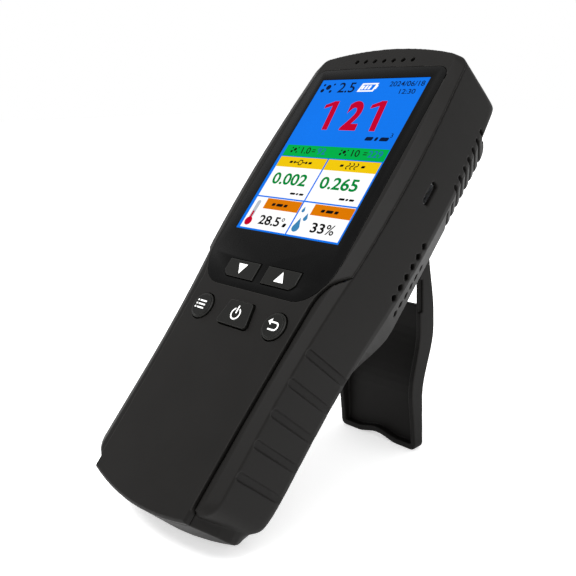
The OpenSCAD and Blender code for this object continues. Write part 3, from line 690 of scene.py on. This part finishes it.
class MONITOR_OT_display(bpy.types.Operator):
    """Adds the lit panel with its readings, bands and symbols"""

    bl_idname = "monitor.display"
    bl_label = "Display"

    def execute(self, context):
        look = context.scene.monitor_display
        unit = SCREEN_W / LAYOUT_W
        glow = look.brightness

        def drawing(layer):
            """Shapes in the layout's units, a higher layer standing in front of a lower one."""
            return Drawing(PICTURE_LEVEL / unit + layer * LAYER_STEP)

        def put(shapes, name, code, strength=1.0):
            """Scales drawn shapes to millimetres and adds them as one lit colour."""
            lit = lit_colour("lit_" + name, code, glow * strength)
            shapes.form.transform(Matrix.Scale(unit, 4))
            shapes.made("display_" + name, lit, "case", "screen")

        # Left and right edges of the two columns of readings
        columns = ((-22.6, 0.1), (0.8, 23.6))
        half_w, half_h = LAYOUT_W / 2, SCREEN_H / unit / 2
        field = drawing(0)
        field.bar(-half_w + 0.1, half_w - 0.1, -half_h + 0.1, half_h - 0.1)
        put(field, "field", look.field_colour)

        cells = drawing(1)
        for left, right in columns:
            cells.bar(left, right, -18.6, -6.2)
            cells.bar(left, right, -31.7, -19.2)
        # The battery symbol: an outline with its cap
        cells.bar(-4.6, 2.2, 26.7, 27.3, 0.25)
        cells.bar(-3.7, 3.0, 29.8, 30.4, 0.25)
        cells.bar(-4.6, -3.8, 26.7, 30.4, 0.25)
        cells.bar(1.9, 2.7, 26.7, 30.4, 0.25)
        cells.bar(2.9, 3.5, 27.8, 29.4, 0.25)
        for i in range(3):
            cells.bar(-3.4 + 1.5 * i, -2.4 + 1.5 * i, 27.7, 29.4, 0.25)
        put(cells, "white_cells", "#ffffff", 1.08)

        good = drawing(1)
        good.bar(-half_w + 1.7, half_w - 0.3, -1.5, 3.2)
        put(good, "good_band", look.good_colour)
        bands = drawing(1)
        for left, right in columns:
            bands.bar(left, right, -6.2, -1.9)
        put(bands, "label_bands", look.label_colour)
        warm = drawing(2)
        for left, right in ((-16.8, 0.1), (6.2, 23.6)):
            warm.bar(left, right, -23.6, -19.4)
        put(warm, "climate_bands", look.warm_colour)

        alert = drawing(2)
        for spot, figure in zip((-10.8, -3.6, 10.9), look.main_reading):
            if figure == "1":
                alert.one(spot, 10.1, 12.5)
            else:
                alert.numerals(figure, spot, 10.1, 12.5, weight=0.04, width=8.4)
        # The thermometer's bulb and column
        alert.disc(-20.2, -29.1, 1.7)
        alert.bar(-20.65, -19.75, -29, -25)
        put(alert, "main_reading", look.alert_colour)

        dark = drawing(2)
        dark.motes(-22.6, 26.4, 4.2)
        dark.numerals("2.5", -14.4, 26.4, 4.5, weight=0.012, width=8.1)
        dark.numerals("12:30", 14.4, 25.5, 2.0, width=6.8)
        dark.numerals("2024/06/18", 8.6, 28.7, 2.2, width=14.8)
        dark.pills(11.2, 6.3, 1.5, 3.2, 1.2, 3.6)
        dark.numerals("3", 21.2, 7.8, 1.7)
        put(dark, "dark_type", "#0a1a3c")
        labels = drawing(3)
        for left, size, width in ((-19.6, "1.0", 4.4), (3.8, "10", 3.6)):
            labels.motes(left, -0.2, 2.5)
            labels.numerals(size, left + 5.2, -0.3, 2.7, width=width)
            for line in (0.55, 1.35):
                labels.bar(left + 10.4, left + 12.0, line, line + 0.3)
        for middle, icon in ((-11.5, labels.molecule), (12.5, labels.waves)):
            icon(middle, -4.05, 2.6)
            labels.pills(middle - 5.4, -4.5, 0.9, 1.5)
            labels.pills(middle + 3.9, -4.5, 0.9, 1.5)
        for left in (-13.4, 10.0):
            labels.pills(left, -22.2, 1.1, 1.6, 3.0, 1.6)
        for left in (-8.0, 14.6):
            labels.pills(left, -17.0, 0.8, 2.4, 1.0, 2.0)
        labels.numerals("28.5", -15.3, -29.8, 3.7, weight=0.025, width=10.4)
        labels.ring(-3.9, -26.9, 0.7, 0.38, steps=16)
        labels.pills(-3.2, -29.6, 1.5, 1.5)
        labels.numerals("33", 9.6, -29.8, 3.7, weight=0.025, width=6.2)
        labels.numerals("%", 16.2, -29.8, 3.7, width=3.9)
        put(labels, "black_type", "#101010")
        side = drawing(4)
        side.numerals("92", -6.7, -0.3, 2.7, width=4.2)
        side.numerals("229", 16.3, -0.3, 2.7, width=6.0)
        put(side, "side_readings", "#1f6fae")
        green = drawing(2)
        green.numerals("0.002", -20.4, -13.5, 4.8, weight=0.025, width=17.0)
        green.numerals("0.265", 2.8, -13.5, 4.8, weight=0.025, width=16.8)
        put(green, "gas_readings", "#008a3a")
        grey_parts = drawing(1.5)
        grey_parts.bar(-21.1, -19.3, -28, -20.6, corner=0.8)
        put(grey_parts, "thermometer", "#b9c2cc")
        drops = drawing(2)
        drops.drop(3.2, -28.9, 1.6)
        drops.drop(5.2, -25.2, 0.9)
        drops.drop(2.4, -22.4, 0.7)
        put(drops, "drops", "#3f86b8")
        return {"FINISHED"}


class MONITOR_OT_keys(bpy.types.Operator):
    """Adds the five key caps with their printed symbols"""

    bl_idname = "monitor.keys"
    bl_label = "Keys"

    def execute(self, context):
        sizes = context.scene.monitor_case
        # ABS moulded in a polished and then blasted tool, worn smooth by fingers
        # The caps' edges are lightened by the edge colour, as wear and as a painted highlight
        satin = moulded_plastic(
            "satin_key_abs", sizes.key_colour, sizes.rubbed_and_highlighted_edge_colour, 0.4, 0.25, 0.012, edge_wear_and_highlight=0.4, specular=0.1
        )
        # Two-part ink laid on the caps by a soft pad and cured hard
        ink = printed_ink("white_pad_ink", sizes.legend_colour)
        for node in ("key_down", "key_up", "key_set", "key_power", "key_esc"):
            show(
                softened(node, sizes.key_cell, 5),
                node.replace("key_", "") + "_cap",
                satin,
                node.replace("key_", "") + "_key",
                "key_plastic",
                node,
            )

        # Height of the printed faces, and where the arrows stand
        arrow_top, round_top = 0.475, 1.025
        arrow_x, arrow_y = 10.3, -50.9
        for side, body in ((-1, "down_key"), (1, "up_key")):
            mark = Drawing(arrow_top)
            x, foot = side * arrow_x, arrow_y - side * 1.9
            mark.shape([(x - 2.3 * side, foot), (x + 2.3 * side, foot), (x, arrow_y + side * 2.1)])
            mark.made(body.replace("_key", "_mark"), ink, body, "key_plastic")
        power = Drawing(round_top)
        power.ring(0, -67.5, 2.3, 1.78, 118, 422, 44)
        power.bar(-0.28, 0.28, -67.4, -64.4, corner=0.2)
        power.made("power_mark", ink, "power_key", "key_plastic")
        # A list symbol for the set key and a step-back arrow for the other
        menu = Drawing(round_top)
        for i in range(3):
            menu.bar(-20.6, -17.0, -66.6 - 1.35 * i, -66.05 - 1.35 * i, corner=0.2)
            menu.disc(-21.5, -66.32 - 1.35 * i, 0.36, 16)
        menu.made("set_mark", ink, "set_key", "key_plastic")
        back = Drawing(round_top)
        back.bar(17.4, 20.2, -66.9, -66.35, corner=0.15)
        back.ring(20.1, -67.95, 1.6, 1.05, -90, 90, 20)
        back.bar(17.6, 20.2, -69.55, -69.0, corner=0.15)
        back.shape([(16.3, -66.62), (17.8, -67.85), (17.8, -65.4)])
        back.made("esc_mark", ink, "esc_key", "key_plastic")
        return {"FINISHED"}


class MONITOR_OT_fittings(bpy.types.Operator):
    """Finishes the metal fittings and dust screens"""

    bl_idname = "monitor.fittings"
    bl_label = "Fittings"

    def execute(self, context):
        # Pressed steel, barrel plated in bright nickel
        nickel = plated_metal("nickel_plated_steel", "#c9cacc", 0.28, 0.12)
        # Turned or pressed steel, zinc plated and passivated, duller and more coarsely lined
        zinc = plated_metal("zinc_plated_steel", "#8f9194", 0.4, 0.2)
        # Plain woven nylon thread, heat set and cut to shape
        mesh = woven_mesh("woven_nylon_mesh", "#3a3a39")
        for node, material in {
            "usb_socket": nickel,
            "hinge_pin": nickel,
            "pin_clips": zinc,
            "case_screws": zinc,
            "board_screws": zinc,
            "lcd_frame": zinc,
            "left_dust_screen": mesh,
            "right_dust_screen": mesh,
        }.items():
            cover_node(node, material)
        return {"FINISHED"}


def cover_node(node, material):
    piece = frame["nodes"][node]
    piece.data.materials.clear()
    piece.data.materials.append(material)


class MONITOR_OT_insides(bpy.types.Operator):
    """Finishes the parts inside the case"""

    bl_idname = "monitor.insides"
    bl_label = "Insides"

    def execute(self, context):
        # Nodes, colour, roughness, size and depth of the pattern in millimetres, and contrast
        surfaces = {
            # Solder mask screened over etched copper and cured, thicker and thinner in patches
            "solder_mask_board": (("main_board",), "#1f5c3a", 0.35, 1.2, 0.03, 0.2),
            # Polyimide film rolled smooth over etched tracks
            "etched_polyimide": (("lcd_ribbon",), "#b5651d", 0.3, 0.8, 0.02, 0.12),
            # Foam cut from a block, so its cells lie open
            "open_cell_foam": (("lens_gasket", "battery_tray"), "#242424", 0.9, 0.5, 0.12, 0.3),
            # Film shrunk on with hot air, in broad soft wrinkles
            "shrink_wrapped_cell": (("battery_cell",), "#9aa0a6", 0.3, 4.0, 0.06, 0.08),
            # Soft plastic drawn over the wire as it is extruded
            "insulated_wire": (("battery_lead",), "#b02020", 0.4, 1.5, 0.02, 0.1),
            # Nylon moulded in a polished tool, barely textured
            "pale_moulded_nylon": (("sensor_lead", "humidity_sensor"), "#dcdcd8", 0.5, 0.6, 0.02, 0.06),
            # Filled nylon moulded in a lightly eroded tool
            "moulded_sensor_body": (("sensor_case",), "#2d3d55", 0.5, 0.5, 0.03, 0.15),
            # Glass-filled nylon, mottled where the fibres reach the surface
            "black_moulded_nylon": (
                ("tact_switches", "sensor_fan", "fan_motor", "buzzer"), "#1a1a1a", 0.5, 0.5, 0.02, 0.25
            ),
        }
        for name, (nodes, code, rough, size, depth, contrast) in surfaces.items():
            material = worked_surface(name, code, rough, size, depth, contrast)
            for node in nodes:
                cover_node(node, material)
        # Aluminium sheet drawn into cans, with the tool's lines along them
        drawn = plated_metal("drawn_aluminium", "#d4d6d8", 0.35, 0.3)
        for node in ("sensor_lid", "formaldehyde_sensor", "voc_sensor"):
            cover_node(node, drawn)
        cover_node("lcd_panel", lit_colour("lit_panel_edge", context.scene.monitor_display.field_colour, 0.6))
        return {"FINISHED"}


class MONITOR_OT_stage(bpy.types.Operator):
    """Adds the floor, the soft light and the camera"""

    bl_idname = "monitor.stage"
    bl_label = "Stage"

    def execute(self, context):
        look = context.scene.monitor_stage
        scene = context.scene
        scene.view_settings.view_transform = "Standard"
        # A light table's opal sheet, lit from below so that shadows stay faint
        opal = lit_board("opal_light_board", "#ffffff", look.table_level)
        form = bmesh.new()
        bmesh.ops.create_grid(form, x_segments=8, y_segments=8, size=4.0)
        ground = bpy.data.meshes.new("floor")
        form.to_mesh(ground)
        form.free()
        ground.materials.append(opal)
        floor = bpy.data.objects.new("floor", ground)
        scene.collection.objects.link(floor)

        world = bpy.data.worlds.new("white_room")
        world.use_nodes = True
        backdrop = world.node_tree.nodes["Background"]
        backdrop.inputs["Color"].default_value = (1.0, 1.0, 1.0, 1.0)
        backdrop.inputs["Strength"].default_value = look.room_level
        scene.world = world

        # Place from the display in metres along the case's axes, size and power of each light
        lights = {
            "key_light": ((0.02, 0.24, 0.95), 0.45, look.key_power),
            "side_light": ((1.0, 0.1, 0.1), 0.7, look.key_power * 0.12),
        }
        for name, (spot, size, power) in lights.items():
            lamp = bpy.data.lights.new(name, "AREA")
            lamp.shape = "DISK"
            lamp.size = size
            lamp.energy = power
            holder = bpy.data.objects.new(name, lamp)
            holder.location = AXES @ Vector(spot)
            holder.rotation_euler = (AXES.translation - holder.location).to_track_quat("-Z", "Y").to_euler()
            scene.collection.objects.link(holder)

        camera = bpy.data.objects.new("camera", bpy.data.cameras.new("camera"))
        camera.data.lens = look.lens
        camera.data.sensor_width = 36.0
        camera.data.clip_start = 0.01
        # Which way the camera's back and top face on the case's axes, squared up before use
        back = Vector((0.7201, -0.2521, 0.6464))
        up = Vector((-0.1648, 0.8429, 0.5123))
        right = up.cross(back).normalized()
        up = back.cross(right).normalized()
        aim = Matrix((right, up, back.normalized())).transposed().to_4x4()
        aim.translation = Vector((204.0, -119.66, 169.14)) * MM
        camera.matrix_world = AXES @ aim
        scene.collection.objects.link(camera)
        scene.camera = camera
        return {"FINISHED"}


STEPS = (
    MONITOR_OT_shells,
    MONITOR_OT_stand,
    MONITOR_OT_lens,
    MONITOR_OT_display,
    MONITOR_OT_keys,
    MONITOR_OT_fittings,
    MONITOR_OT_insides,
    MONITOR_OT_stage,
)


class MONITOR_PT_panel(bpy.types.Panel):
    """Sidebar panel with the steps in order"""

    bl_label = "Monitor"
    bl_idname = "MONITOR_PT_panel"
    bl_space_type = "VIEW_3D"
    bl_region_type = "UI"
    bl_category = "Monitor"

    def draw(self, context):
        for group in ("monitor_case", "monitor_display", "monitor_stage"):
            settings = getattr(context.scene, group)
            for name in settings.__annotations__:
                self.layout.prop(settings, name)
        for step in STEPS:
            self.layout.operator(step.bl_idname)


SETTINGS = {
    "monitor_case": MonitorCaseSettings,
    "monitor_display": MonitorDisplaySettings,
    "monitor_stage": MonitorStageSettings,
}


def register():
    for kind in (*SETTINGS.values(), *STEPS, MONITOR_PT_panel):
        bpy.utils.register_class(kind)
    for name, kind in SETTINGS.items():
        setattr(bpy.types.Scene, name, bpy.props.PointerProperty(type=kind))


def unregister():
    for name in SETTINGS:
        delattr(bpy.types.Scene, name)
    for kind in reversed((*SETTINGS.values(), *STEPS, MONITOR_PT_panel)):
        bpy.utils.unregister_class(kind)


def main():
    register()
    for step in STEPS:
        group, name = step.bl_idname.split(".")
        getattr(getattr(bpy.ops, group), name)()


if __name__ == "__main__":
    main()
